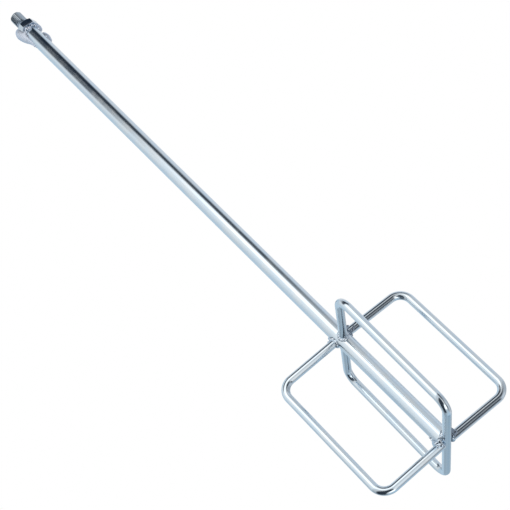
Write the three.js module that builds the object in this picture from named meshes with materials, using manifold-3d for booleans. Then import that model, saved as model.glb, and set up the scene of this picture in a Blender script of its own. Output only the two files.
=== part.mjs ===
// A mortar mixing paddle: a long tube with a screw-on drive end and a cage of bent rods.
// Millimetres, +Z up. The paddle stands on its cage, the drive end points up, and the
// origin is on the shaft axis, level with the lowest line of the bottom rods.

import * as THREE from 'three';
import { mergeVertices } from 'three/addons/utils/BufferGeometryUtils.js';
import Module from 'manifold-3d';

// ---- driving dimensions -------------------------------------------------------------

const overallLength = 687;      // lowest rod line to the tip of the stud
const shaftDiameter = 16;       // outside of the shaft tube
const shaftWall = 1.5;          // wall of the shaft tube
const rodDiameter = 8;          // every rod of the cage

const cageReach = 73.5;         // shaft axis to the centre of an outer leg
const bowHeight = 137.5;        // centre of a bow's bottom bar to the centre of its top bar
const hoopHeight = 134;         // the same for the hoop
const hoopLean = 3.1;           // the hoop's legs stand this far forward at the top, back at the foot
const bendRadius = 13;          // centre line of each rod corner

const threadDiameter = 14;      // M14 x 2 drive thread, outside
const threadPitch = 2;
const threadDepth = 1.2;
const threadReach = 22;         // free thread above the nut
const tipChamfer = 1.5;

const nutAcrossFlats = 22;
const nutHeight = 8;
const nutChamfer = 1.2;
const nutTurn = 2;              // degrees, which way a corner of the nut points

const rightBowAngle = -3.9;     // degrees from +X, the bows are set by eye before welding
const leftBowAngle = 181.5;

const seam = 0.3;               // space kept between pieces that touch
const floorGap = 0.4;           // weld metal stops this far above the lowest rod line

const beadReach = 5;            // how far a rod-end bead runs out along its rod
const beadRise = 3.6;           // how far a rod-end bead stands above and below its rod
const footBeadRise = 8;         // taller bead in the corner between a bottom bar and the shaft
const collarDrop = 8;           // length of the bead under the nut
const collarFlare = 3.6;        // how far that bead stands out from the shaft at the nut
const lumpHeight = 29;          // run of excess weld beside the nut
const lumpDrop = 3;             // middle of that lump, below the nut
const lumpReach = 14.8;         // how far the lump stands out from the shaft axis
const tackHeight = 17;          // separate short tack below the nut
const tackDrop = 21.5;          // middle of the tack, below the nut
const tackProud = 2.5;          // how far the tack stands out from the shaft

// ---- sizes worked out from them -----------------------------------------------------

const shaftRadius = shaftDiameter / 2;
const rodRadius = rodDiameter / 2;
const threadRadius = threadDiameter / 2;
const bottomBarHeight = rodRadius;
const bowTop = bottomBarHeight + bowHeight;
const hoopTop = bottomBarHeight + hoopHeight;
const shaftFoot = rodDiameter + seam;
const nutBase = overallLength - threadReach - nutHeight;
const shaftTop = nutBase - seam;
const beadHalfWidth = (shaftRadius + seam) * Math.SQRT1_2 - seam / 2;

const rodSides = 20;
const shaftSides = 40;
const bendSteps = 6;
const threadSides = 18;
const threadRows = 6;           // rows of facets in each pitch

const radians = THREE.MathUtils.degToRad;

// ---- finishes -----------------------------------------------------------------------

const zincTube = new THREE.MeshStandardMaterial({ color: 0xd3dfe6, roughness: 0.22, metalness: 1 });
const zincRod = new THREE.MeshStandardMaterial({ color: 0xbfd0db, roughness: 0.25, metalness: 1 });
const zincHardware = new THREE.MeshStandardMaterial({ color: 0xb9c4cb, roughness: 0.35, metalness: 1 });
const zincWeld = new THREE.MeshStandardMaterial({ color: 0xa9b7c0, roughness: 0.45, metalness: 1 });

// ---- solids -------------------------------------------------------------------------

const wasm = await Module();
wasm.setup();

function bare(geometry) {
  geometry.deleteAttribute('normal');
  geometry.deleteAttribute('uv');
  return mergeVertices(geometry, 1e-4);
}

function solid(geometry) {
  const merged = bare(geometry.clone());
  return new wasm.Manifold(new wasm.Mesh({
    numProp: 3,
    vertProperties: new Float32Array(merged.attributes.position.array),
    triVerts: new Uint32Array(merged.index.array),
  }));
}

function geometryOf(manifold) {
  const mesh = manifold.getMesh();
  const geometry = new THREE.BufferGeometry();
  geometry.setAttribute('position', new THREE.BufferAttribute(new Float32Array(mesh.vertProperties), 3));
  geometry.setIndex(new THREE.BufferAttribute(new Uint32Array(mesh.triVerts), 1));
  geometry.computeVertexNormals();
  return geometry;
}

// A profile of [radius, height] pairs, turned about the Z axis.
function turned(profile, sides) {
  const points = profile.map(([radius, height]) => new THREE.Vector2(radius, height));
  return new THREE.LatheGeometry(points, sides).rotateX(Math.PI / 2);
}

// A plain round bar along Z.
function roundBar(radius, low, high, sides) {
  return new THREE.CylinderGeometry(radius, radius, high - low, sides)
    .rotateX(Math.PI / 2)
    .translate(0, 0, (low + high) / 2);
}

function egg(radii, centre) {
  return new THREE.SphereGeometry(1, 20, 12).scale(...radii).translate(...centre);
}

// A hexagonal bar along Z.
function hexBar(acrossFlats, low, high, turn) {
  const corner = acrossFlats / Math.sqrt(3);
  const shape = new THREE.Shape();
  for (let k = 0; k < 6; k += 1) {
    const angle = radians(turn + 60 * k);
    shape[k === 0 ? 'moveTo' : 'lineTo'](corner * Math.cos(angle), corner * Math.sin(angle));
  }
  shape.closePath();
  const options = { depth: high - low, bevelEnabled: false };
  return new THREE.ExtrudeGeometry(shape, options).translate(0, 0, low);
}

// ---- bent rods ----------------------------------------------------------------------

// The centre line of a bent rod, given as stations: one at each end of every straight run
// and bendSteps along every corner, so that the straight runs cost no extra facets.
class RodLine extends THREE.Curve {
  constructor(corners, radius) {
    super();
    this.stations = [{ point: corners[0], tangent: direction(corners[0], corners[1]) }];
    for (let k = 1; k < corners.length - 1; k += 1) {
      this.addBend(corners[k - 1], corners[k], corners[k + 1], radius);
    }
    const [before, end] = corners.slice(-2);
    this.stations.push({ point: end, tangent: direction(before, end) });
  }

  addBend(before, corner, after, radius) {
    const incoming = direction(before, corner);
    const outgoing = direction(corner, after);
    const turn = incoming.angleTo(outgoing);
    const inward = outgoing.clone().addScaledVector(incoming, -Math.cos(turn)).normalize();
    const centre = corner.clone()
      .addScaledVector(incoming, -radius * Math.tan(turn / 2))
      .addScaledVector(inward, radius);
    for (let k = 0; k <= bendSteps; k += 1) {
      const angle = (k / bendSteps) * turn;
      const point = centre.clone()
        .addScaledVector(inward, -radius * Math.cos(angle))
        .addScaledVector(incoming, radius * Math.sin(angle));
      const tangent = incoming.clone().multiplyScalar(Math.cos(angle))
        .addScaledVector(inward, Math.sin(angle));
      this.stations.push({ point, tangent });
    }
  }

  get steps() {
    return this.stations.length - 1;
  }

  station(t) {
    return this.stations[Math.round(t * this.steps)];
  }

  getPoint(t) {
    return this.station(t).point.clone();
  }

  getPointAt(t) {
    return this.getPoint(t);
  }

  getTangent(t) {
    return this.station(t).tangent.clone();
  }

  getTangentAt(t) {
    return this.getTangent(t);
  }
}

function direction(from, to) {
  return to.clone().sub(from).normalize();
}

function bentRod(corners) {
  const section = new THREE.Shape();
  section.absarc(0, 0, rodRadius, 0, 2 * Math.PI);
  const line = new RodLine(corners, bendRadius);
  return new THREE.ExtrudeGeometry(section, {
    curveSegments: rodSides / 2,
    steps: line.steps,
    extrudePath: line,
    bevelEnabled: false,
  });
}

// The hoop is one rod: out from the shaft, down, across under the shaft, up and back in.
function hoopRod() {
  const start = shaftRadius + seam;
  return bentRod([
    new THREE.Vector3(0, start, hoopTop),
    new THREE.Vector3(0, cageReach + hoopLean, hoopTop),
    new THREE.Vector3(0, cageReach - hoopLean, bottomBarHeight),
    new THREE.Vector3(0, -cageReach - hoopLean, bottomBarHeight),
    new THREE.Vector3(0, -cageReach + hoopLean, hoopTop),
    new THREE.Vector3(0, -start, hoopTop),
  ]);
}

// A bow fills one side: out from the shaft, down, and in to the side of the hoop's bottom bar.
// It is drawn along +X and turned to its place, so its foot clears the hoop at that angle.
function bowRod(angle) {
  const slant = Math.abs(Math.tan(radians(angle)));
  const foot = (rodRadius + seam) / Math.cos(Math.atan(slant)) + rodRadius * slant;
  return bentRod([
    new THREE.Vector3(shaftRadius + seam, 0, bowTop),
    new THREE.Vector3(cageReach, 0, bowTop),
    new THREE.Vector3(cageReach, 0, bottomBarHeight),
    new THREE.Vector3(foot, 0, bottomBarHeight),
  ]);
}

// ---- shaft and drive end ------------------------------------------------------------

function shaftTube() {
  const bore = shaftRadius - shaftWall;
  return turned([
    [bore, shaftFoot],
    [shaftRadius, shaftFoot],
    [shaftRadius, shaftTop],
    [bore, shaftTop],
    [bore, shaftFoot],
  ], shaftSides);
}

// 0 at a thread's crest and 1 at its root, with narrow flats and straight flanks between.
function threadForm(phase) {
  const crest = 1 / 8;
  const root = 1 / 4;
  const fromCrest = Math.abs(phase - Math.round(phase)) - crest / 2;
  const flank = (1 - crest - root) / 2;
  return THREE.MathUtils.clamp(fromCrest / flank, 0, 1);
}

function studRadius(angle, height) {
  const cut = threadDepth * threadForm(height / threadPitch - angle / (2 * Math.PI));
  const toEnd = Math.min(overallLength - height, height - nutBase);
  const chamfer = Math.max(0, tipChamfer - toEnd);
  return threadRadius - Math.max(cut, chamfer);
}

function threadedStud() {
  const length = overallLength - nutBase;
  const rows = Math.round(length / threadPitch * threadRows);
  const stud = new THREE.CylinderGeometry(threadRadius, threadRadius, length, threadSides, rows)
    .rotateX(Math.PI / 2)
    .translate(0, 0, (nutBase + overallLength) / 2);
  const place = stud.attributes.position;
  for (let k = 0; k < place.count; k += 1) {
    const angle = Math.atan2(place.getY(k), place.getX(k));
    const share = Math.hypot(place.getX(k), place.getY(k)) / threadRadius;
    const radius = share * studRadius(angle, place.getZ(k));
    place.setXY(k, radius * Math.cos(angle), radius * Math.sin(angle));
  }
  return stud;
}

function hexNut() {
  const corner = nutAcrossFlats / Math.sqrt(3);
  const crown = nutAcrossFlats / 2 - nutChamfer / 4;
  const top = nutBase + nutHeight;
  const rounding = turned([
    [0, nutBase],
    [corner, nutBase],
    [corner, top - nutChamfer],
    [crown, top],
    [0, top],
  ], shaftSides);
  const bore = roundBar(threadRadius + seam, nutBase - 1, top + 1, shaftSides);
  const body = solid(hexBar(nutAcrossFlats, nutBase, top, nutTurn)).intersect(solid(rounding));
  return geometryOf(body.subtract(solid(bore)));
}

// ---- welds --------------------------------------------------------------------------

// What a weld must stay clear of, each grown by the seam.
function shaftRoom() {
  return solid(roundBar(shaftRadius + seam, shaftFoot - seam, nutBase, shaftSides));
}

function rodRoom(from, to) {
  const along = to.clone().sub(from);
  const bar = roundBar(rodRadius + seam, 0, along.length(), rodSides);
  const turn = new THREE.Quaternion().setFromUnitVectors(new THREE.Vector3(0, 0, 1), along.normalize());
  bar.applyQuaternion(turn).translate(from.x, from.y, from.z);
  return solid(bar);
}

function aboveFloor(manifold) {
  const size = 4 * cageReach;
  const slab = new THREE.BoxGeometry(size, size, size).translate(0, 0, floorGap - size / 2);
  return manifold.subtract(solid(slab));
}

// A bead round the end of a top bar, drawn for a bar along +X.
function topBead(height) {
  const root = shaftRadius + seam;
  const shape = egg([beadReach, beadHalfWidth, rodRadius + beadRise], [root, 0, height]);
  const bar = rodRoom(new THREE.Vector3(0, 0, height), new THREE.Vector3(cageReach, 0, height));
  return geometryOf(solid(shape).subtract(bar).subtract(shaftRoom()));
}

// A bead in the corner of a bow's foot, the hoop's bottom bar and the shaft, drawn for +X.
function bowFootBead(angle) {
  const inner = rodRadius / 2;
  const outer = shaftRadius + seam + beadReach;
  const high = rodDiameter + footBeadRise;
  const middle = (high + floorGap) / 2;
  const radii = [(outer - inner) / 2, beadHalfWidth, high - middle];
  const shape = egg(radii, [(outer + inner) / 2, 0, middle]);
  const bow = rodRoom(
    new THREE.Vector3(0, 0, bottomBarHeight),
    new THREE.Vector3(cageReach, 0, bottomBarHeight),
  );
  const across = new THREE.Vector3(0, cageReach, 0).applyAxisAngle(new THREE.Vector3(0, 0, 1), -radians(angle));
  const level = new THREE.Vector3(0, 0, bottomBarHeight);
  const hoop = rodRoom(level.clone().sub(across), level.clone().add(across));
  const cut = solid(shape).subtract(bow).subtract(hoop).subtract(shaftRoom());
  return geometryOf(aboveFloor(cut));
}

// A bead on top of the hoop's bottom bar where the shaft stands on it, drawn for +Y.
function hoopFootBead() {
  const outward = shaftRadius + seam + beadReach / 2;
  const shape = egg([beadHalfWidth - seam, beadReach * 0.9, beadRise + 1], [0, outward, rodDiameter]);
  const level = new THREE.Vector3(0, -cageReach, bottomBarHeight);
  const bar = rodRoom(level, new THREE.Vector3(0, cageReach, bottomBarHeight));
  return geometryOf(solid(shape).subtract(bar).subtract(shaftRoom()));
}

// The bead under the nut, with a lump of excess weld up the side of the nut.
function collarWeld() {
  const low = nutBase - collarDrop;
  const high = nutBase - seam;
  const ring = turned([
    [0, low],
    [shaftRadius + seam + 0.2, low],
    [shaftRadius + collarFlare * 0.55, low + collarDrop * 0.4],
    [shaftRadius + collarFlare, high - 1],
    [shaftRadius + collarFlare, high],
    [0, high],
  ], shaftSides);
  const lumpRadius = lumpReach - shaftRadius + 1;
  const lumpRadii = [lumpRadius, lumpRadius * 0.8, lumpHeight / 2];
  const lump = egg(lumpRadii, [shaftRadius - 1, 0, nutBase - lumpDrop]);
  const nutRoom = hexBar(nutAcrossFlats + 2 * seam, nutBase - seam, nutBase + nutHeight + lumpHeight, nutTurn);
  const metal = solid(ring).add(solid(lump));
  return geometryOf(metal.subtract(solid(nutRoom)).subtract(shaftRoom()));
}

// A short separate tack on the other side, lower down the shaft.
function tackWeld() {
  const radii = [tackProud + 1, beadHalfWidth, tackHeight / 2];
  const shape = egg(radii, [1 - shaftRadius, 0, nutBase - tackDrop]);
  return geometryOf(solid(shape).subtract(shaftRoom()));
}

// ---- assembly -----------------------------------------------------------------------

const paddle = new THREE.Group();

function add(name, geometry, material, angle = 0) {
  const mesh = new THREE.Mesh(geometry, material);
  mesh.name = name;
  mesh.rotation.z = radians(angle);
  paddle.add(mesh);
}

add('shaft_tube', shaftTube(), zincTube);
add('threaded_stud', threadedStud(), zincHardware);
add('hex_nut', hexNut(), zincHardware);
add('collar_weld', collarWeld(), zincWeld);
add('tack_weld', tackWeld(), zincWeld);

add('cage_hoop', hoopRod(), zincRod);
add('bow_right', bowRod(rightBowAngle), zincRod, rightBowAngle);
add('bow_left', bowRod(leftBowAngle), zincRod, leftBowAngle);

add('weld_top_right', topBead(bowTop), zincWeld, rightBowAngle);
add('weld_top_left', topBead(bowTop), zincWeld, leftBowAngle);
add('weld_top_front', topBead(hoopTop), zincWeld, 90);
add('weld_top_back', topBead(hoopTop), zincWeld, -90);

add('weld_foot_right', bowFootBead(rightBowAngle), zincWeld, rightBowAngle);
add('weld_foot_left', bowFootBead(leftBowAngle), zincWeld, leftBowAngle);
add('weld_foot_front', hoopFootBead(), zincWeld);
add('weld_foot_back', hoopFootBead(), zincWeld, 180);

export default paddle;
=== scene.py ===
# %% [markdown]
# # A mortar mixing paddle
#
# The paddle is a drill or mixer attachment. A straight steel tube carries a hexagon nut and
# a threaded stud at one end, and a cage of bent round rods at the other: one hoop that runs
# under the end of the tube, and two bows that close the other two sides. Everything is
# bright zinc, and every joint is a hand-laid weld.
#
# The CAD model already has each part at its true size. Here each part is modelled again with
# smooth bends, rounded edges, a real screw thread and lumpy welds, in the same place, and
# gets its finish. We load the CAD model first and keep its box, because the detailed model
# has to be the same size.

# %% Load the frame
import math
import random

import bpy
import numpy as np
from mathutils import Matrix, Vector


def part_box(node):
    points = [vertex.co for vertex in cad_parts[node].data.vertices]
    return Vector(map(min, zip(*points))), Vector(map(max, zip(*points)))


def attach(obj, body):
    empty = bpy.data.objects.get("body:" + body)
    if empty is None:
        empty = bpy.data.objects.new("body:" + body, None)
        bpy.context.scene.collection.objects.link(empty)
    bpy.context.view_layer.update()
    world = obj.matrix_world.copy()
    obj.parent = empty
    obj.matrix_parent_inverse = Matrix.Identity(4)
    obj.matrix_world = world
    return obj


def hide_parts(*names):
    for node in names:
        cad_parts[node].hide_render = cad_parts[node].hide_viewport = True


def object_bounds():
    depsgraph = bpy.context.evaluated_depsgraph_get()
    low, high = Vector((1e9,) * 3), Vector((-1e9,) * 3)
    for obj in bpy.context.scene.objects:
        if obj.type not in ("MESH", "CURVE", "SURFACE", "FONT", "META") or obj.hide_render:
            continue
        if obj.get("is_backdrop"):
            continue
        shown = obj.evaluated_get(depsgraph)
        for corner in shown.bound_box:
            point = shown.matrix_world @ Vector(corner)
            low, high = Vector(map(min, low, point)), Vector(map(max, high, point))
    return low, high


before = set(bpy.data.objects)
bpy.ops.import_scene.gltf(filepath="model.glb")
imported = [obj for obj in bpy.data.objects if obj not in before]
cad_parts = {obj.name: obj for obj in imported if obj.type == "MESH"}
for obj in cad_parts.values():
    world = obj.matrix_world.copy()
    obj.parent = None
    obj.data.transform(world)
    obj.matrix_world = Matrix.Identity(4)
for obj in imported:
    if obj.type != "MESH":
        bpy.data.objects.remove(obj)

cad_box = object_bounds()
print("CAD box", cad_box)

# %% [markdown]
# ## Sizes
#
# Blender measures in metres, and the drawing of the paddle is in millimetres, so one factor
# turns one into the other. The places of the tube, nut and stud are read from the CAD
# nodes. The rods' bends can't be read from a box, so their sizes are written here as they
# stand in the drawing.

# %% The sizes of the paddle
mm = 0.001

shaft_low, shaft_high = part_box("shaft_tube")
nut_low, nut_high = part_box("hex_nut")
stud_low, stud_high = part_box("threaded_stud")

shaft_radius = shaft_high.x
shaft_wall = 1.5 * mm
rod_radius = 4 * mm
bar_height = rod_radius
bend_radius = 13 * mm
cage_reach = 73.5 * mm
bow_top = bar_height + 137.5 * mm
hoop_top = bar_height + 134 * mm
hoop_lean = 3.1 * mm
weld_gap = 0.3 * mm
right_bow_angle = math.radians(-3.9)
left_bow_angle = math.radians(181.5)

print("shaft radius", shaft_radius, "from", shaft_low.z, "to", shaft_high.z)
print("nut", nut_low.z, nut_high.z, "stud", stud_low.z, stud_high.z)


# %% [markdown]
# ## Working as by hand
#
# Most of Blender's operators act on whatever is selected, and the loaded CAD nodes start out
# selected. So each piece begins with nothing selected, and every helper leaves the piece it
# made as the only active one. The helpers below are the few hand movements that come back
# all the time: start from nothing, go into edit mode, select faces by their place, and
# apply a modifier.

# %% Small helpers for every piece
def select_only(piece):
    bpy.ops.object.select_all(action="DESELECT")
    piece.select_set(True)
    bpy.context.view_layer.objects.active = piece


def start(name):
    """Names the primitive that was just added and puts its place into its mesh."""
    piece = bpy.context.active_object
    piece.name = name
    piece.data.name = name
    bpy.ops.object.transform_apply(location=True, rotation=True, scale=True)
    return piece


def edit(piece, what="VERT"):
    select_only(piece)
    bpy.ops.object.mode_set(mode="EDIT")
    bpy.ops.mesh.select_mode(type=what)
    bpy.ops.mesh.select_all(action="SELECT")


def leave_edit():
    bpy.ops.object.mode_set(mode="OBJECT")


def select_edges(piece, wanted):
    """In edit mode, selects only the edges with both ends where wanted says."""
    bpy.ops.mesh.select_all(action="DESELECT")
    bpy.ops.object.mode_set(mode="OBJECT")
    vertices = piece.data.vertices
    for edge in piece.data.edges:
        edge.select = all(wanted(vertices[k].co) for k in edge.vertices)
    bpy.ops.object.mode_set(mode="EDIT")


def apply_modifier(piece, kind, **settings):
    select_only(piece)
    modifier = piece.modifiers.new(kind.title(), kind)
    for setting, value in settings.items():
        setattr(modifier, setting, value)
    bpy.ops.object.modifier_apply(modifier=modifier.name)


def break_edges(piece, width, segments, sharper_than):
    """Bevels the edges where two faces meet at more than so many degrees."""
    limit = math.radians(sharper_than)
    apply_modifier(
        piece, "BEVEL", width=width, segments=segments, limit_method="ANGLE", angle_limit=limit,
    )


def smooth(piece, sharpest=35):
    select_only(piece)
    bpy.ops.object.shade_smooth_by_angle(angle=math.radians(sharpest))


def report(piece):
    corners = np.array([vertex.co for vertex in piece.data.vertices]) / mm
    triangles = sum(len(face.vertices) - 2 for face in piece.data.polygons)
    low, high = corners.min(0).round(1), corners.max(0).round(1)
    print(f"{piece.name}: {triangles} triangles, box {low} {high}")


# %% [markdown]
# ## The shaft tube
#
# The shaft is a cold-drawn tube of 16 mm with a 1.5 mm wall, open at both ends. A cylinder
# with no end faces gives the outside, and a Solidify modifier grows the wall inwards, which
# keeps the outside at its true size. The saw leaves a slightly broken edge on a cut tube, so
# the rims get a small bevel. A lathe profile would do as well, but this way the wall stays
# one number that can be changed.

# %% Model the shaft tube
rim_ring = 1.2 * mm
bpy.ops.object.select_all(action="DESELECT")
bpy.ops.mesh.primitive_cylinder_add(
    vertices=96,
    radius=shaft_radius,
    depth=shaft_high.z - shaft_low.z - 2 * rim_ring,
    end_fill_type="NOTHING",
    location=(0, 0, (shaft_high.z + shaft_low.z) / 2),
)
shaft = start("shaft")
for up in (1, -1):
    edit(shaft, "EDGE")
    select_edges(shaft, lambda end: up * (end.z - (shaft_high.z + shaft_low.z) / 2) > 0)
    bpy.ops.mesh.extrude_region_move(TRANSFORM_OT_translate={"value": (0, 0, up * rim_ring)})
    leave_edit()
apply_modifier(shaft, "SOLIDIFY", thickness=shaft_wall, offset=-1, use_even_offset=True)
break_edges(shaft, 0.35 * mm, 3, 50)
smooth(shaft)
report(shaft)

# %% [markdown]
# ## The bent rods
#
# The cage is 8 mm round rod, bent cold over a former. It could be a curve with a round
# bevel, but an extruded ring follows the way the bender works and gives clean quads: a ring
# of 40 corners is pushed along the straight, spun round the former for each bend, and
# pushed on again. Each straight is the length between two bends, and each bend is a spin
# about the former's centre. The ends are capped and get the small chamfer that a rod
# cropper leaves.

# %% Helpers that bend a rod
guard_ring = 1.2 * mm
rod_corners = 40
bend_steps = 20


def tangent_length(turn):
    return bend_radius * math.tan(turn / 2)


def begin_rod(name, place, heading):
    """An open ring of the rod's size at its first end, ready to be pushed along heading."""
    bpy.ops.object.select_all(action="DESELECT")
    bpy.ops.mesh.primitive_circle_add(
        vertices=rod_corners,
        radius=rod_radius,
        fill_type="NOTHING",
        location=place,
        rotation=heading.to_track_quat("Z", "Y").to_euler(),
    )
    rod = start(name)
    edit(rod, "EDGE")
    return rod


def push(step):
    bpy.ops.mesh.extrude_region_move(TRANSFORM_OT_translate={"value": step})


def push_straight(step):
    """Short first and last stretches keep the shading of the long one true."""
    short = step.normalized() * guard_ring
    push(short)
    push(step - 2 * short)
    push(short)


def bend(place, heading, onward):
    """Spins the ring at place round the former, from heading to onward."""
    turn = heading.angle(onward)
    axis = heading.cross(onward).normalized()
    inward = axis.cross(heading)
    centre = place + inward * bend_radius
    bpy.ops.mesh.spin(steps=bend_steps, angle=-turn, center=centre, axis=axis, use_auto_merge=False)


def bent_rod(name, corners):
    """A rod that runs through the corners of its centre line, each one rounded."""
    headings = [(b - a).normalized() for a, b in zip(corners, corners[1:])]
    turns = [a.angle(b) for a, b in zip(headings, headings[1:])]
    place = corners[0].copy()
    rod = begin_rod(name, place, headings[0])
    for heading, onward, turn, corner in zip(headings, headings[1:], turns, corners[1:]):
        bend_start = corner - heading * tangent_length(turn)
        push_straight(bend_start - place)
        bend(bend_start, heading, onward)
        place = corner + onward * tangent_length(turn)
    push_straight(corners[-1] - place)
    bpy.ops.mesh.select_all(action="SELECT")
    bpy.ops.mesh.remove_doubles(threshold=0.01 * mm)
    bpy.ops.mesh.fill_holes(sides=0)
    bpy.ops.mesh.normals_make_consistent(inside=False)
    leave_edit()
    break_edges(rod, 0.4 * mm, 2, 50)
    smooth(rod)
    report(rod)
    return rod


# %% [markdown]
# ## The hoop
#
# The hoop is a single rod: it starts at the front of the shaft, goes out, down, across under
# the shaft's end, up the back and in again. It was welded on leaning a little forward, so
# its legs are not quite upright. The corners of its centre line are written down, and the
# rod helper rounds each of them. Bending a finished straight bar with a modifier would
# stretch the mesh at the corners, and this doesn't.

# %% Model the hoop
root = shaft_radius + weld_gap
hoop_corners = [
    Vector((0, root, hoop_top)),
    Vector((0, cage_reach + hoop_lean, hoop_top)),
    Vector((0, cage_reach - hoop_lean, bar_height)),
    Vector((0, -cage_reach - hoop_lean, bar_height)),
    Vector((0, -cage_reach + hoop_lean, hoop_top)),
    Vector((0, -root, hoop_top)),
]
hoop = bent_rod("hoop", hoop_corners)

# %% [markdown]
# ## One bow
#
# A bow fills one side of the cage: out from the shaft, down, and in until it meets the side
# of the hoop. Its foot stops a fraction of a millimetre short of the hoop, and the weld
# closes that gap later. The two bows are the same bent rod, so only one is modelled, lying
# along +X.

# %% Model one bow
bow_foot = rod_radius + 0.6 * mm
bow_corners = [
    Vector((root, 0, bow_top)),
    Vector((cage_reach, 0, bow_top)),
    Vector((cage_reach, 0, bar_height)),
    Vector((bow_foot, 0, bar_height)),
]
bow = bent_rod("bow_right_side", bow_corners)

# %% [markdown]
# ## A map that follows the rod
#
# Drawn rod has fine lines along its length. In plain object coordinates such lines would
# run across the bends. So every point of a rod keeps the place it had before the rod was
# bent, as an attribute: how far along it is, and where it sits in the round section. The
# finish reads that instead, and its lines follow every bend. A UV map would do too, but it
# has a seam down the rod and this has none.

# %% Write the straightened place of every point
map_steps = 24


def centre_line(corners):
    """Points along the bent centre line, a millimetre apart, with their headings."""
    headings = [(b - a).normalized() for a, b in zip(corners, corners[1:])]
    points, tangents = [], []
    place = corners[0].copy()

    def straight(to):
        length = (to - place).length
        count = max(2, int(length / mm))
        for step in range(count):
            points.append(place.lerp(to, step / count))
            tangents.append(heading)

    for k, heading in enumerate(headings):
        last = k == len(headings) - 1
        onward = heading if last else headings[k + 1]
        turn = heading.angle(onward)
        straight(corners[k + 1] - heading * tangent_length(turn))
        if last:
            break
        axis = heading.cross(onward).normalized()
        bend_start = corners[k + 1] - heading * tangent_length(turn)
        centre = bend_start + axis.cross(heading) * bend_radius
        for step in range(map_steps):
            turned = Matrix.Rotation(turn * step / map_steps, 3, axis)
            points.append(centre + turned @ (bend_start - centre))
            tangents.append(turned @ heading)
        place = corners[k + 1] + onward * tangent_length(turn)
    return np.array(points), np.array(tangents)


def keep_straight_place(piece, corners, attribute="drawn"):
    points, tangents = centre_line(corners)
    run = np.concatenate([[0], np.cumsum(np.linalg.norm(np.diff(points, axis=0), axis=1))])
    flat = Vector(tangents[0]).cross(Vector(tangents[len(tangents) // 2])).normalized()
    if flat.length < 0.5:
        flat = Vector((0, 1, 0))
    places = np.array([vertex.co for vertex in piece.data.vertices])
    nearest = ((places[:, None] - points[None]) ** 2).sum(2).argmin(1)
    offset = places - points[nearest]
    tangent = tangents[nearest]
    side = np.array(flat)
    up = np.cross(tangent, side)
    straightened = np.stack([
        offset @ side,
        (offset * up).sum(1),
        run[nearest] + (offset * tangent).sum(1),
    ], axis=1)
    layer = piece.data.attributes.new(attribute, "FLOAT_VECTOR", "POINT")
    layer.data.foreach_set("vector", straightened.astype(np.float32).ravel())
    print(piece.name, "is", round(run[-1] * 1000), "mm of rod")


keep_straight_place(hoop, hoop_corners)
keep_straight_place(bow, bow_corners)


# %% [markdown]
# ## The second bow
#
# Modelling the left bow again would only risk a difference, so the finished bow is
# duplicated with its own mesh, map and all. The bows were set by eye before welding, and
# each stands a few degrees off the square. Each copy is turned about the shaft to its own
# angle, and the turn is applied so that both objects stay at the origin.

# %% Copy the bow and turn both to their places
def turn_to(piece, angle):
    select_only(piece)
    piece.rotation_euler.z = angle
    bpy.ops.object.transform_apply(location=False, rotation=True, scale=False)


select_only(bow)
bpy.ops.object.duplicate(linked=False)
bow_left = bpy.context.active_object
bow_left.name = "bow_left_side"
turn_to(bow, right_bow_angle)
turn_to(bow_left, left_bow_angle)
report(bow)
report(bow_left)

# %% [markdown]
# ## The threaded stud
#
# The stud is an M14 screw, 2 mm pitch. A real thread is one ridge that winds round as it
# climbs, so one pitch of its outline is drawn as a short zigzag and a Screw modifier winds
# it up. The zigzag has small flats at crest and root, which the plating softens. A stack of
# rings would look the same from the side, but no nut could climb it.

# %% Wind the thread
pitch = 2 * mm
crest = 7 * mm
thread_root = crest - 1.2 * mm
stud_length = stud_high.z - stud_low.z

bpy.ops.object.select_all(action="DESELECT")
bpy.ops.mesh.primitive_plane_add(size=pitch, location=(crest, 0, stud_low.z - pitch))
stud = start("stud")
outline = [
    (thread_root, 0.00),
    (thread_root, 0.17),
    (thread_root + 0.18 * mm, 0.24),
    (crest - 0.12 * mm, 0.52),
    (crest, 0.58),
    (crest, 0.66),
    (crest - 0.12 * mm, 0.72),
    (thread_root + 0.18 * mm, 0.96),
]
edit(stud)
bpy.ops.mesh.delete(type="ONLY_FACE")
bpy.ops.mesh.select_all(action="SELECT")
bpy.ops.mesh.merge(type="CENTER")
bpy.ops.transform.translate(value=(thread_root - crest, 0, 0))
for (radius, share), (next_radius, next_share) in zip(outline, outline[1:] + [(thread_root, 1.0)]):
    push((next_radius - radius, 0, (next_share - share) * pitch))
leave_edit()
turns = math.ceil(stud_length / pitch) + 3
apply_modifier(
    stud, "SCREW", axis="Z", screw_offset=pitch, iterations=turns, angle=2 * math.pi,
    steps=48, render_steps=48, use_merge_vertices=False, use_normal_calculate=True,
)
edit(stud)
bpy.ops.mesh.remove_doubles(threshold=0.01 * mm)
leave_edit()
report(stud)


# %% [markdown]
# ## The stud's length and tip
#
# Winding leaves ragged ends, so the thread is cut level at both with a bisect that fills the
# cut. The tip of a real screw is chamfered so that a nut finds it, and the thread runs out
# on that cone. Keeping only what lies inside a bar with a chamfered end does the same. A
# bevel on the tip couldn't, because it would follow the ridge of the thread. Slivers that
# the boolean leaves are dissolved.

# %% Cut the stud to length and run the thread out at its tip
def cut_level(piece, height, keep_above):
    edit(piece)
    bpy.ops.mesh.bisect(
        plane_co=(0, 0, height), plane_no=(0, 0, 1), use_fill=True,
        clear_inner=keep_above, clear_outer=not keep_above, threshold=1e-7,
    )
    leave_edit()


cut_level(stud, stud_low.z, True)
cut_level(stud, stud_high.z + 0.1 * mm, False)
edit(stud)
bpy.ops.mesh.normals_make_consistent(inside=False)
leave_edit()

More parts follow.
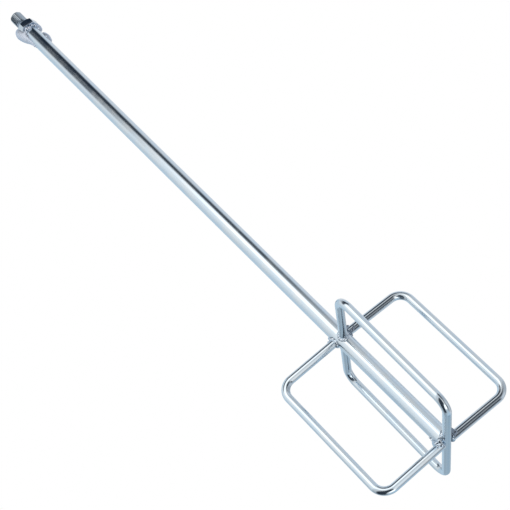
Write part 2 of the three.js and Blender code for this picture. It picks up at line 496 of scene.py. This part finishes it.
bpy.ops.object.select_all(action="DESELECT")
bpy.ops.mesh.primitive_cylinder_add(
    vertices=96, radius=crest + 0.3 * mm, depth=stud_length + 2 * mm,
    location=(0, 0, (stud_low.z + stud_high.z) / 2 - mm),
)
blank = start("stud_blank")
edit(blank, "EDGE")
select_edges(blank, lambda end: end.z > stud_high.z - mm / 2)
bpy.ops.mesh.bevel(offset=1.6 * mm, segments=1)
leave_edit()
apply_modifier(stud, "BOOLEAN", operation="INTERSECT", object=blank, solver="EXACT")
bpy.data.objects.remove(blank)
edit(stud)
bpy.ops.mesh.dissolve_degenerate(threshold=0.02 * mm)
bpy.ops.mesh.quads_convert_to_tris()
bpy.ops.mesh.dissolve_degenerate(threshold=0.02 * mm)
leave_edit()
smooth(stud, 28)
report(stud)

# %% [markdown]
# ## The hexagon nut
#
# The nut that the drill's spindle tightens against is a plain M14 nut, 22 mm across its
# flats. A six-sided cylinder is a hexagon bar. Turning it on a lathe cuts its corners back
# to a cone, and that cone makes the curved lines that every nut shows on its flats. A
# boolean with a chamfered disc makes the same cut. A second boolean drills the nut, and a
# bevel breaks the edges.

# %% Model the nut
nut_height = nut_high.z - nut_low.z
nut_middle = (nut_high.z + nut_low.z) / 2
nut_across_flats = 22 * mm
nut_corner = nut_across_flats / math.sqrt(3)
nut_turn = math.radians(2)

bpy.ops.object.select_all(action="DESELECT")
bpy.ops.mesh.primitive_cylinder_add(
    vertices=6, radius=nut_corner, depth=nut_height, location=(0, 0, nut_middle),
    rotation=(0, 0, nut_turn - math.pi / 2),
)
nut = start("nut")

bpy.ops.mesh.primitive_cylinder_add(
    vertices=128, radius=nut_corner + 0.01 * mm, depth=nut_height, location=(0, 0, nut_middle),
)
lathe = start("nut_lathe")
edit(lathe, "EDGE")
select_edges(lathe, lambda end: end.z > nut_middle)
bpy.ops.mesh.bevel(offset_type="WIDTH", offset=2.1 * mm, segments=1)
leave_edit()
apply_modifier(nut, "BOOLEAN", operation="INTERSECT", object=lathe, solver="EXACT")
bpy.data.objects.remove(lathe)

bpy.ops.object.select_all(action="DESELECT")
bpy.ops.mesh.primitive_cylinder_add(
    vertices=96, radius=crest + weld_gap, depth=nut_height * 2, location=(0, 0, nut_middle),
)
drill = start("nut_drill")
apply_modifier(nut, "BOOLEAN", operation="DIFFERENCE", object=drill, solver="EXACT")
bpy.data.objects.remove(drill)
break_edges(nut, 0.22 * mm, 3, 28)
smooth(nut, 30)
report(nut)

# %% [markdown]
# ## How a weld is laid
#
# A hand weld is a row of small puddles of steel, each frozen over the one before. Metaballs
# melt into each other in just that way, so each weld is a list of puddles: where each was
# laid and how big it is. The mesh that comes out is softened and then roughened a little by
# a cloud texture, because the zinc follows a skin of ripples. A torus or a sphere would
# look machined. A seeded dice shifts the puddles by fractions of a millimetre, so that the
# result is uneven and yet always the same.

# %% Helper that lays a weld
skin = bpy.data.textures.new("weld_skin", "CLOUDS")
skin.noise_scale = 1.6 * mm
skin.noise_depth = 3


def lay_weld(name, puddles, seed, fineness=0.42 * mm, roughness=0.07 * mm, shake=0.3, passes=6):
    """puddles are (place, radius) pairs in metres. The weld is laid a thousand times too big,
    because metaballs can't be finer than 5 mm, and then shrunk."""
    dice = random.Random(seed)
    bpy.ops.object.select_all(action="DESELECT")
    bpy.ops.object.metaball_add(type="BALL", radius=1, location=(0, 0, 0))
    weld = bpy.context.active_object
    weld.data.resolution = fineness / mm
    weld.data.render_resolution = fineness / mm
    weld.data.elements.clear()
    for place, radius in puddles:
        ball = weld.data.elements.new(type="BALL")
        ball.co = Vector(place) / mm + Vector([dice.uniform(-shake, shake) for _ in range(3)])
        ball.radius = radius / mm * dice.uniform(0.92, 1.1) / 0.575
    bpy.ops.object.convert(target="MESH")
    bpy.ops.transform.resize(value=(mm, mm, mm), center_override=(0, 0, 0))
    weld = start(name)
    apply_modifier(weld, "SMOOTH", factor=0.6, iterations=passes)
    apply_modifier(
        weld, "DISPLACE", texture=skin, texture_coords="LOCAL", strength=roughness, mid_level=0.5,
    )
    smooth(weld, 180)
    report(weld)
    return weld


def turned(puddles, angle):
    spin = Matrix.Rotation(angle, 3, "Z")
    return [(spin @ Vector(place), radius) for place, radius in puddles]


# %% [markdown]
# ## The four top joints
#
# Each top bar ends square against the round shaft, and the welder went once round it. The
# puddles follow the line where the two meet, which is a circle bent over the shaft. The
# list of sizes runs once round the bar, and no two lists are alike. On the left bow the
# welder ran on a little way along the bar.

# %% Weld the rods' top ends to the shaft
def ring_weld(height, sizes, stand_out=0.5 * mm):
    """Puddles round a rod's end on the shaft, drawn for a rod along +X. sizes go round from the
    side at -Y, up over the top, and back underneath."""
    puddles = []
    for k, size in enumerate(sizes):
        angle = math.pi - 2 * math.pi * k / len(sizes)
        across = (rod_radius + 0.4 * mm) * math.cos(angle)
        rise = (rod_radius + 0.4 * mm) * math.sin(angle)
        out = math.sqrt(shaft_radius ** 2 - across ** 2) + stand_out
        puddles.append(((out, across, height + rise), size * mm))
    return puddles


top_right = ring_weld(bow_top, [1.6, 1.7, 2.0, 2.2, 2.0, 1.8, 1.5, 1.4, 1.6, 1.7, 1.5, 1.4])
top_right += [
    ((8.4 * mm, 0.6 * mm, bow_top + 6.6 * mm), 1.5 * mm),
    ((11.6 * mm, 0, bow_top + 4.2 * mm), 1.0 * mm),
]
top_left = ring_weld(bow_top, [1.5, 1.9, 2.1, 1.9, 2.1, 1.7, 1.4, 1.5, 1.7, 1.4, 1.5, 1.6])
for out, across, rise, size in [
    (11.0, -2.9, -2.2, 1.8), (12.8, -3.0, -1.6, 1.6), (14.6, -3.1, -1.0, 1.4), (11.2, -1.2, 3.9, 1.5),
]:
    top_left.append(((out * mm, across * mm, bow_top + rise * mm), size * mm))
top_front = ring_weld(hoop_top, [1.7, 1.5, 1.8, 1.9, 1.8, 1.6, 1.7, 1.6, 1.5, 1.8, 1.6, 1.5])
top_back = ring_weld(hoop_top, [1.5, 1.7, 1.9, 2.1, 1.7, 1.6, 1.5, 1.7, 1.6, 1.4, 1.6, 1.7])

weld_top_right = lay_weld("weld_right_top", turned(top_right, right_bow_angle), 11)
weld_top_left = lay_weld("weld_left_top", turned(top_left, left_bow_angle), 12)
weld_top_front = lay_weld("weld_front_top", turned(top_front, math.pi / 2), 13)
weld_top_back = lay_weld("weld_back_top", turned(top_back, -math.pi / 2), 14)

# %% [markdown]
# ## The four feet
#
# At the foot the shaft stands on the hoop's bottom bar, and a bow comes in from each side.
# The weld fills the corner between bar and shaft and climbs the shaft a little. A bow's
# weld also has to close the corner that it makes with the hoop, below the open end of the
# tube, so it gets a few more puddles there. They stay above the lowest line of the rods.

# %% Weld the rods' feet to the shaft and to each other
bar_top = 2 * rod_radius


def foot_weld(climb, sizes):
    """Puddles in the corner of a bottom bar and the shaft, drawn for a bar along +X."""
    puddles = []
    for k, size in enumerate(sizes):
        angle = math.radians(-58 + 116 * k / (len(sizes) - 1))
        across = 4.6 * mm * math.sin(angle)
        level = bar_top - 3.4 * mm + 4.4 * mm * math.cos(angle)
        puddles.append(((8.9 * mm, across, level), size * mm))
    for k in range(4):
        share = k / 3
        place = (8.7 * mm - 0.8 * mm * share, 0.8 * mm * (k % 2), bar_top + climb * share)
        puddles.append((place, (2.1 - 0.9 * share) * mm))
    return puddles


def bow_end_weld(sizes):
    """Puddles that close the corners where a bow's foot, the hoop and the shaft's end meet."""
    puddles = []
    for side, (corner, low, end) in zip((-1, 1), sizes):
        puddles.append(((5.2 * mm, side * 5.0 * mm, 6.4 * mm), corner * mm))
        puddles.append(((6.6 * mm, side * 4.2 * mm, 3.0 * mm), low * mm))
        puddles.append(((9.6 * mm, side * 3.9 * mm, 4.0 * mm), end * mm))
    puddles.append(((5.2 * mm, 0, 2.8 * mm), 2.3 * mm))
    return puddles


right_corner = foot_weld(7.5 * mm, [1.8, 1.9, 2.1, 2.2, 2.1, 1.9, 1.8])
right_corner += bow_end_weld([(2.9, 1.9, 1.5), (2.9, 2.0, 1.6)])
left_corner = foot_weld(4.5 * mm, [2.0, 2.2, 2.1, 1.9, 2.3, 2.0, 2.2])
left_corner += bow_end_weld([(3.0, 2.3, 2.3), (2.9, 2.1, 2.0)])
front_corner = foot_weld(3.0 * mm, [1.4, 1.6, 1.9, 1.8, 1.9, 1.6, 1.5])
back_corner = foot_weld(3.5 * mm, [1.5, 1.7, 1.8, 2.0, 1.8, 1.7, 1.5])
foot_right = lay_weld("weld_right_foot", turned(right_corner, right_bow_angle), 21)
foot_left = lay_weld("weld_left_foot", turned(left_corner, left_bow_angle), 22)
foot_front = lay_weld("weld_front_foot", turned(front_corner, math.pi / 2), 23)
foot_back = lay_weld("weld_back_foot", turned(back_corner, -math.pi / 2), 24)

# %% [markdown]
# ## The collar and the tack
#
# The nut is held by an uneven ring of weld under it. On one side the welder stopped with a
# great lump that stands up beside the nut and tapers down the shaft. The other side has a
# smaller one and, lower down, a separate tack. The ring is sixteen puddles of changing
# size, and each lump is a column of puddles that swells and shrinks.

# %% Weld the nut to the shaft
collar = []
ring_puddles = 16
ring_radius = 9.1 * mm
for k in range(ring_puddles):
    angle = 2 * math.pi * k / ring_puddles
    size = (1.7, 2.3, 1.5, 2.4, 1.9, 1.4, 2.2, 1.8)[k % 8]
    drop = (1.4, 2.4, 3.1, 2.0, 3.4)[k % 5]
    place = (ring_radius * math.cos(angle), ring_radius * math.sin(angle), nut_low.z - drop * mm)
    collar.append((place, size * mm))
for height, out, radius in [
    (-24, 7.3, 1.5), (-20.5, 7.4, 2.0), (-17, 7.6, 2.5), (-13.5, 7.9, 3.1), (-10, 8.2, 3.8),
    (-6.5, 8.6, 4.6), (-3, 8.9, 5.3), (0.5, 9.2, 5.5), (4, 9.5, 4.9), (7.5, 9.8, 3.9),
]:
    collar.append(((out * mm, 0, nut_low.z + height * mm), radius * mm))
for height, out, radius in [(-4, -8.6, 3.2), (-1, -8.9, 3.2), (-6, -8.4, 2.6)]:
    collar.append(((out * mm, 0.5 * mm, nut_low.z + height * mm), radius * mm))
collar_weld = lay_weld(
    "weld_collar", collar, 31, fineness=0.55 * mm, roughness=0.05 * mm, shake=0.15, passes=12,
)

tack = []
for drop, out, across, radius in [
    (15, 7.3, 0, 3.0), (18.5, 7.7, 0.4, 3.7), (22.5, 7.7, -0.3, 3.7), (26.5, 7.3, 0, 3.1),
]:
    tack.append(((-out * mm, across * mm, nut_low.z - drop * mm), radius * mm))
tack_weld = lay_weld("weld_tack", tack, 32, roughness=0.05 * mm, shake=0.15, passes=12)

# %% [markdown]
# ## The light
#
# The paddle is shown in a white room. The plain way is a white world, which lights the floor
# and fills the shadows evenly. The colours are shown with the Standard view, because a
# filmic one would turn the white floor grey.

# %% Light the world white
scene = bpy.context.scene
scene.view_settings.view_transform = "Standard"
world = bpy.data.worlds.new("white_room")
scene.world = world
world.use_nodes = True
world.node_tree.nodes["Background"].inputs["Color"].default_value = (1, 1, 1, 1)
world.node_tree.nodes["Background"].inputs["Strength"].default_value = 1.0


# %% [markdown]
# ## Building materials
#
# A material in Blender is a tree of nodes. Adding and joining them one by one takes many
# lines, so this small class does both at once: node() adds a node and fills its sockets,
# and a plain number goes straight into a socket while another node's output is linked. mix()
# blends two colours, and band() is the step that comes back most: one value below a limit,
# another above it, and a soft change between.

# %% Helpers that build a node tree
class Finish:
    """A material's node tree, with short ways to add and join nodes."""

    def __init__(self, name):
        self.material = bpy.data.materials.new(name)
        self.material.use_nodes = True
        self.tree = self.material.node_tree
        self.tree.nodes.clear()
        self.output = self.tree.nodes.new("ShaderNodeOutputMaterial")

    def node(self, kind, inputs=(), **settings):
        made = self.tree.nodes.new("ShaderNode" + kind)
        for setting, value in settings.items():
            setattr(made, setting, value)
        for socket, value in dict(inputs).items():
            self.put(made.inputs[socket], value)
        return made

    def put(self, socket, value):
        if isinstance(value, bpy.types.NodeSocket):
            self.tree.links.new(value, socket)
        else:
            socket.default_value = value

    def math(self, operation, *values):
        return self.node("Math", dict(enumerate(values)), operation=operation).outputs[0]

    def mix(self, share, first, second, **settings):
        """The colour first where share is 0, and second where it is 1."""
        inputs = {0: share, 6: first, 7: second}
        return self.node("Mix", inputs, data_type="RGBA", **settings).outputs[2]

    def band(self, value, low, high, start=0.0, end=1.0):
        """start below low, end above high, and a soft change between."""
        inputs = {"Value": value, "From Min": low, "From Max": high, "To Min": start, "To Max": end}
        return self.node("MapRange", inputs, interpolation_type="SMOOTHSTEP").outputs[0]


# %% [markdown]
# ## The walls of the light tent
#
# Bright zinc is nearly a mirror, so most of what it shows is the room. Studios put
# such things in a tent of white cloth. Here the tent is a sphere that gives off light, and
# its brightness is painted by direction: azimuth is the compass angle and height the angle
# above the horizon, both in degrees. The walls are whitest in front and turn pale blue
# behind. Lamps and cards would do the same, but with hard edges.

# %% Paint the tent's walls
tent_radius = 2.2
tent_paint = Finish("tent_paint")
band = tent_paint.band


def product(*shares):
    share = shares[0]
    for other in shares[1:]:
        share = tent_paint.math("MULTIPLY", share, other)
    return share


place = tent_paint.node("TexCoord").outputs["Object"]
axes = tent_paint.node("SeparateXYZ", {"Vector": place}).outputs
azimuth = product(tent_paint.math("ARCTAN2", axes["Y"], axes["X"]), 180 / math.pi)
azimuth = tent_paint.math("FLOORED_MODULO", azimuth, 360.0)
height = product(tent_paint.math("ARCSINE", product(axes["Z"], 1 / tent_radius)), 180 / math.pi)

walls = tent_paint.node("ValToRGB", {"Fac": product(azimuth, 1 / 360)})
stops = [
    (0, (0.74, 0.78, 0.81)), (25, (0.88, 0.91, 0.93)), (48, (0.97, 0.98, 0.99)), (100, (1.0, 1.0, 1.0)),
    (118, (1.0, 1.0, 1.0)), (150, (0.66, 0.71, 0.77)), (200, (0.70, 0.74, 0.80)),
    (235, (0.78, 0.80, 0.83)), (256, (0.48, 0.64, 0.77)), (300, (0.58, 0.70, 0.79)),
    (325, (0.60, 0.69, 0.76)), (360, (0.74, 0.78, 0.81)),
]
ramp = walls.color_ramp
ramp.elements[0].position, ramp.elements[0].color = 0, (*stops[0][1], 1)
ramp.elements[1].position, ramp.elements[1].color = 1, (*stops[-1][1], 1)
for angle, colour in stops[1:-1]:
    ramp.elements.new(angle / 360).color = (*colour, 1)

# %% [markdown]
# ## The lights and gaps of the tent
#
# A few places differ from the walls. A soft box shines at one side. The opening in front,
# where the light tent is closed by hand, is dark from floor to roof, and its edges wander.
# The roof above is dark cloth. Those dark parts make the lines that run down the shaft and
# the rods, and without them the metal would look like white plastic. Each part is a
# share between 0 and 1: how much of the light is lost there.

# %% Paint the tent's lights and gaps
soft_box = product(
    band(azimuth, 52, 62), band(azimuth, 92, 106, 1, 0),
    band(height, 5, 14), band(height, 36, 44, 0.5, 0),
)
dim_horizon = product(band(height, -36, -22), band(height, 2, 10, 0.27, 0))
dim_ground = product(
    band(height, -60, -50, 0.5, 0), band(height, -84, -76),
    band(azimuth, 118, 140), band(azimuth, 236, 256, 1, 0),
)
dim_side = product(band(azimuth, 282, 300), band(azimuth, 340, 358, 0.16, 0), band(height, 20, 28, 1, 0))
dim_far = product(band(azimuth, 175, 200), band(azimuth, 225, 240, 0.14, 0), band(height, 20, 28, 1, 0))
dim_corner = product(
    band(azimuth, 254, 266), band(azimuth, 276, 286, 0.4, 0),
    band(height, -42, -34), band(height, -29, -23, 1, 0),
)

gap_middle = band(height, 30, 50, 131, 116)
from_gap = tent_paint.math("ABSOLUTE", tent_paint.math("SUBTRACT", azimuth, gap_middle))
high_gap = product(band(from_gap, 8, 40, 0.96, 0), band(height, 22, 35, 0.2, 1), band(height, 58, 70, 1, 0.5))
gap_middle = tent_paint.math(
    "SUBTRACT", band(height, -68, -50, 152, 121), band(height, -26, -10, 0, 4),
)
gap_width = band(height, -68, -50, 32, 17)
from_gap = tent_paint.math("ABSOLUTE", tent_paint.math("SUBTRACT", azimuth, gap_middle))
low_gap = tent_paint.math("SUBTRACT", 1.0, band(tent_paint.math("DIVIDE", from_gap, gap_width), 0.6, 1.05))
low_gap = product(
    low_gap, band(height, 7, 13, 0.93, 0.15), band(height, 18, 26, 1, 0), band(height, -75, -69),
)
low_gap = product(low_gap, band(height, -56, -49, 1, 0.7), band(height, -30, -20, 1, 1.4))
roof = product(
    band(height, 43, 50, 0, 0.93), band(azimuth, 18, 58),
    band(azimuth, 130, 160, 1, 0), band(height, 62, 74, 1, 0.4),
)

below_horizon = product(band(height, -55, -50), band(height, -14, -7, 0.97, 0))
dark_patch = product(below_horizon, band(azimuth, 83, 89, 1, 0))
dark_patch_behind = product(below_horizon, band(azimuth, 312, 322))
bounce = product(band(azimuth, 80, 100, 0.8, 0), band(height, -62, -57, 1, 0))
from_line = tent_paint.math("ABSOLUTE", tent_paint.math("SUBTRACT", azimuth, 107.0))
thin_line = product(band(from_line, 2, 7, 0.4, 0), band(height, 16, 20), band(height, 25, 29, 1, 0))

open_share = 1.0
losses = (
    dark_patch, dark_patch_behind, thin_line, dim_horizon, dim_ground, dim_side, dim_far,
    dim_corner, high_gap, low_gap, roof,
)
for loss in losses:
    open_share = product(tent_paint.math("SUBTRACT", 1.0, loss), open_share)
for gain in (soft_box, bounce):
    open_share = product(open_share, tent_paint.math("ADD", gain, 1.0))
dark_cloth = (0.012, 0.022, 0.038, 1)
seen = tent_paint.mix(open_share, dark_cloth, walls.outputs["Color"], clamp_factor=False)
glow = tent_paint.node("Emission", {"Color": seen, "Strength": 1.0})
tent_paint.put(tent_paint.output.inputs["Surface"], glow.outputs[0])

# %% [markdown]
# ## Raising the tent
#
# The tent is only there to be mirrored.

# %% Raise the tent
bpy.ops.object.select_all(action="DESELECT")
bpy.ops.mesh.primitive_uv_sphere_add(segments=96, ring_count=48, radius=tent_radius, location=(0, 0, 0))
tent = start("light_tent")
tent.data.materials.append(tent_paint.material)
tent.visible_camera = False
tent.visible_diffuse = False
tent.visible_shadow = False
tent.visible_transmission = False
tent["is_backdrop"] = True
print("tent of", len(tent.data.polygons), "faces")

# %% [markdown]
# ## The floor
#
# The floor is a plain pale plane, large enough that no edge of it is seen. It has no shine,
# so it doesn't mirror the tent. The camera may look up from below, as through a glass
# table, so the underside is clear.

# %% Lay the floor
floor_paint = Finish("floor_paint")
pale = (0.88, 0.89, 0.90, 1)
no_shine = {"Roughness": 1.0, "Specular IOR Level": 0.0}
shade = floor_paint.node("BsdfPrincipled", {"Base Color": pale, **no_shine})
clear = floor_paint.node("BsdfTransparent")
underside = floor_paint.node("NewGeometry").outputs["Backfacing"]
mix = floor_paint.node("MixShader", {0: underside, 1: shade.outputs[0], 2: clear.outputs[0]})
floor_paint.put(floor_paint.output.inputs["Surface"], mix.outputs[0])
bpy.ops.object.select_all(action="DESELECT")
bpy.ops.mesh.primitive_plane_add(size=40, location=(0, 0, 0))
floor = start("floor")
floor.data.materials.append(floor_paint.material)
floor.visible_glossy = False
floor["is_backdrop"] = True

# %% [markdown]
# ## The lamp
#
# One wide disc lamp from above gives the floor a soft shadow, which shows where the paddle
# stands. A small lamp would draw a hard one. The lamp isn't mirrored in the zinc, because
# the tent already paints what the zinc sees.

# %% Hang the lamp
bpy.ops.object.light_add(type="AREA", location=(0.5, 1.2, 2.2))
lamp = bpy.context.active_object
lamp.name = "wide_lamp"
lamp.data.shape = "DISK"
lamp.data.size = 1.6
lamp.data.energy = 12
lamp.visible_glossy = False
lamp.rotation_euler = (Vector((0, 0, 0.3)) - lamp.location).to_track_quat("-Z", "Y").to_euler()


# %% [markdown]
# ## Zinc
#
# All of the paddle was plated after welding, so every piece wears the same bright zinc and
# only its skin differs. The rods and the tube keep the fine lines of cold drawing, stretched
# noise along the metal. The tint drifts between a bluish and a plainer grey, as chromate
# does, and tiny nicks show darker. The nut and stud are smoother, and the stud is painted
# darker nearer its axis, as painted shade in the roots of the thread.
# The welds are plated rougher, and the thick ones are matt at their sides. The two welds on
# the left bow wear a darker copy of the weld zinc, which is a painted dark reflection. One
# function with a few settings makes all of them, which keeps them alike.

# %% Mix the zinc finishes
def zinc(
    name, tint, warm, roughness, follow=None, stretch=0.03, lined=1.0, painted_root_shade=None, matt_sides=None,
):
    """Bright zinc plate. follow is the attribute that straightens the piece, if it is bent."""
    finish = Finish(name)

    def noise(where, scale, detail, rough):
        inputs = {"Vector": where, "Scale": scale, "Detail": detail, "Roughness": rough}
        return finish.node("TexNoise", inputs).outputs["Fac"]

    def bumped(height, strength, distance, **before):
        inputs = {"Height": height, "Strength": strength, "Distance": distance, **before}
        return finish.node("Bump", inputs).outputs[0]

    if follow:
        place = finish.node("Attribute", attribute_name=follow).outputs["Vector"]
    else:
        place = finish.node("TexCoord").outputs["Object"]
    along = finish.node("Mapping", {"Vector": place, "Scale": (1, 1, stretch)}).outputs[0]
    lines = noise(along, 2200, 3, 0.6)
    cloud = noise(place, 70, 4, 0.55)
    swell = noise(along, 260, 2, 0.5)
    grain = noise(place, 2600, 3, 0.6)
    cells = {"Vector": place, "Scale": 30, "Randomness": 1.0}
    cell = finish.node("TexVoronoi", cells, feature="F1").outputs["Distance"]
    nick = finish.band(cell, 0.006, 0.015, 1.0, 0.0)
    tone = finish.mix(finish.band(cloud, 0.35, 0.65), (*tint, 1), (*warm, 1))
    nicks_and_painted_shade = finish.math("MULTIPLY", nick, 0.55)
    # Painted shade: everything nearer the axis than the thread's root is mixed darker, standing in for the
    # shade in the thread's grooves.
    if painted_root_shade:
        axes = finish.node("SeparateXYZ", {"Vector": place}).outputs
        squares = [finish.math("POWER", axes[axis], 2.0) for axis in "XY"]
        across = finish.math("SQRT", finish.math("ADD", *squares))
        nicks_and_painted_shade = finish.math("MAXIMUM", nicks_and_painted_shade, finish.band(across, painted_root_shade[0], painted_root_shade[1], 0.85, 0.0))
    # The real nicks and the painted shade near the stud's axis are both mixed in with this dark colour.
    colour = finish.mix(nicks_and_painted_shade, tone, (0.10, 0.12, 0.14, 1))
    drift = finish.band(cloud, 0.3, 0.7, roughness * 0.8, roughness * 1.25)
    streaks = finish.band(lines, 0.4, 0.8, -0.02 * lined, 0.06 * lined)
    rough = finish.math("ADD", drift, streaks)
    if matt_sides:
        axes = finish.node("SeparateXYZ", {"Vector": place}).outputs
        from_middle = finish.math("ABSOLUTE", axes["X"])
        rough = finish.math("MAXIMUM", rough, finish.band(from_middle, 5 * mm, 8 * mm, 0.0, matt_sides))
    bump = bumped(swell, 0.25, 0.12 * mm)
    bump = bumped(lines, 0.35 * lined, 0.012 * mm, Normal=bump)
    bump = bumped(grain, 0.25 * lined, 0.01 * mm, Normal=bump)
    surface = {"Base Color": colour, "Metallic": 1.0, "Roughness": rough, "Normal": bump}
    shader = finish.node("BsdfPrincipled", surface)
    finish.put(finish.output.inputs["Surface"], shader.outputs[0])
    return finish.material


zinc_tube = zinc("zinc_tube", (0.70, 0.80, 0.88), (0.76, 0.82, 0.86), 0.15, lined=0.6)
zinc_rod = zinc("zinc_rod", (0.70, 0.80, 0.88), (0.76, 0.82, 0.86), 0.13, follow="drawn", lined=0.45)
# The hardware zinc paints shade into the roots of the stud's thread, darker nearer the axis.
zinc_hardware = zinc(
    "zinc_hardware", (0.66, 0.74, 0.82), (0.72, 0.78, 0.82), 0.11,
    stretch=1, lined=0.6, painted_root_shade=(thread_root + 0.15 * mm, crest - 0.35 * mm),
)
zinc_weld = zinc("zinc_weld", (0.58, 0.67, 0.76), (0.70, 0.76, 0.82), 0.17, stretch=1, lined=0.3)
# A darker copy of the weld zinc for the two welds on the left bow: a painted dark reflection, not a colour of
# the metal.
zinc_weld_painted_dark_reflection = zinc("zinc_weld_painted_dark_reflection", (0.20, 0.25, 0.31), (0.36, 0.41, 0.48), 0.15, stretch=1, lined=0.3)
zinc_collar = zinc(
    "zinc_collar", (0.66, 0.73, 0.84), (0.72, 0.77, 0.86), 0.12, stretch=1, lined=0.4, matt_sides=0.5,
)

# %% Put it together
finishes = [
    (shaft, zinc_tube, "zinc_tube", "shaft_tube"),
    (hoop, zinc_rod, "zinc_rod", "cage_hoop"),
    (bow, zinc_rod, "zinc_rod", "bow_right"),
    (bow_left, zinc_rod, "zinc_rod", "bow_left"),
    (stud, zinc_hardware, "zinc_hardware", "threaded_stud"),
    (nut, zinc_hardware, "zinc_hardware", "hex_nut"),
    (collar_weld, zinc_collar, "zinc_weld", "collar_weld"),
    (tack_weld, zinc_collar, "zinc_weld", "tack_weld"),
    (weld_top_right, zinc_weld, "zinc_weld", "weld_top_right"),
    # The left bow's top and foot welds wear the darker copy of the weld zinc, a painted dark reflection.
    (weld_top_left, zinc_weld_painted_dark_reflection, "zinc_weld", "weld_top_left"),
    (weld_top_front, zinc_weld, "zinc_weld", "weld_top_front"),
    (weld_top_back, zinc_weld, "zinc_weld", "weld_top_back"),
    (foot_right, zinc_weld, "zinc_weld", "weld_foot_right"),
    (foot_left, zinc_weld_painted_dark_reflection, "zinc_weld", "weld_foot_left"),
    (foot_front, zinc_weld, "zinc_weld", "weld_foot_front"),
    (foot_back, zinc_weld, "zinc_weld", "weld_foot_back"),
]
for piece, material, slot, node in finishes:
    piece.data.materials.clear()
    piece.data.materials.append(material)
    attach(piece, "root")
    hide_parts(node)

# %% [markdown]
# ## The camera
#
# The paddle lies across the view from corner to corner, seen a little from below its feet,
# with a long lens that keeps the rods nearly parallel. The three directions are those of the
# camera's own axes: to its right, down, and away from the viewer.

# %% Place the camera
right = Vector((-0.769633, -0.116814, -0.62771))
down = Vector((0.584435, -0.524762, -0.618919))
away = Vector((-0.2571, -0.843196, 0.472145))
camera_data = bpy.data.cameras.new("camera")
camera = bpy.data.objects.new("camera", camera_data)
scene.collection.objects.link(camera)
turn = Matrix((right, -down, -away)).transposed()
camera.matrix_world = Matrix.Translation(Vector((0.32485, 1.0594, -0.32925))) @ turn.to_4x4()
camera_data.lens = 93.2
camera_data.sensor_width = 36
camera_data.clip_end = 50
scene.camera = camera

# %% [markdown]
# ## The size, and the end
#
# The boxes of the CAD model and of the detailed one are written side by side, so that they
# can be compared.

# %% Write the size and finish
size = {"cad": [list(map(float, corner)) for corner in cad_box], "visual": [list(map(float, corner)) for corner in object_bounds()]}
print(size)
